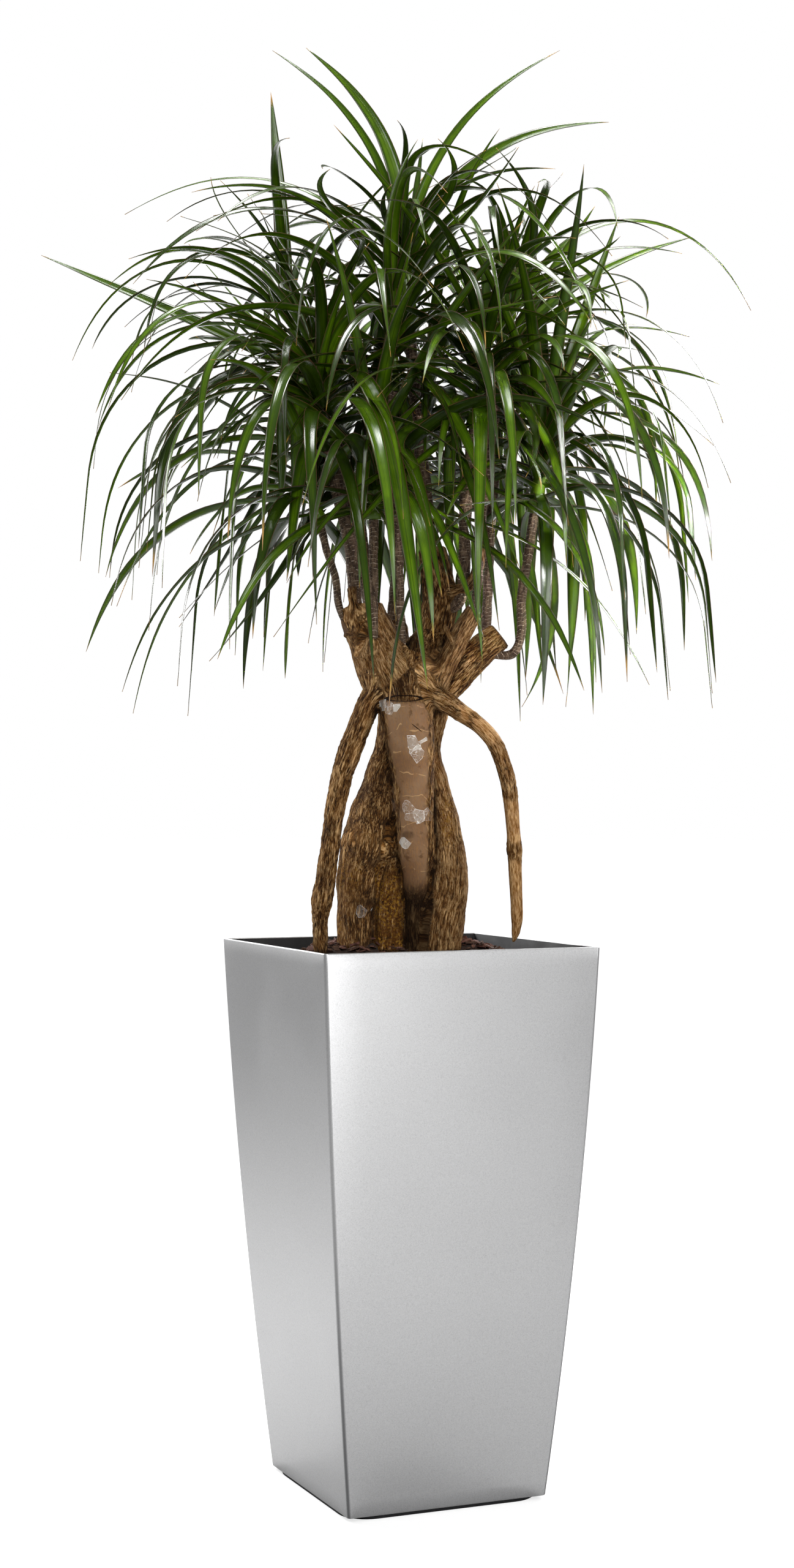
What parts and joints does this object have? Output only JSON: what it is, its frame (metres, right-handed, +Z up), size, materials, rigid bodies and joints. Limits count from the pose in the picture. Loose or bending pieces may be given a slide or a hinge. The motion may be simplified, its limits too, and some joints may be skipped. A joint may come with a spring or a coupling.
{
  "type": "potted dracaena",
  "caption": "Tall dragon tree with twined bare trunks, ringed canes and arching narrow leaves, standing in a tall tapered square planter with a hanging liner and bark soil.",
  "frame": {"origin": "centre of the planter's foot, on the ground plane", "axes": "+Z up, the planter's faces look along X and Y, and -Y is the face seen broadest in the picture"},
  "size_m": [0.9357, 0.9002, 2.0148],
  "materials": {
    "planter": "satin silver metallic lacquer with a fine grain",
    "liner": "black moulded plastic",
    "soil": "loose reddish brown bark chips",
    "bark": "rough flaky bark",
    "cane": "grey brown bark with fine pale rings",
    "leaf": "glossy dark green leaf with a thin red edge"
  },
  "bodies": {
    "root": {"planter_shell": "planter", "liner": "liner", "soil": "soil", "trunk": "bark", "cane_far_left": "cane", "cane_left": "cane", "cane_upper_left": "cane", "cane_front": "cane", "cane_front_centre": "cane", "cane_top": "cane", "cane_right_centre": "cane", "cane_upper_right": "cane", "cane_far_right": "cane", "cane_back": "cane", "cane_back_left": "cane", "cane_back_right": "cane", "leaves_far_left": "leaf", "leaves_left": "leaf", "leaves_upper_left": "leaf", "leaves_front": "leaf", "leaves_front_centre": "leaf", "leaves_top": "leaf", "leaves_right_centre": "leaf", "leaves_upper_right": "leaf", "leaves_far_right": "leaf", "leaves_back": "leaf", "leaves_back_left": "leaf", "leaves_back_right": "leaf"}
  },
  "joints": []
}
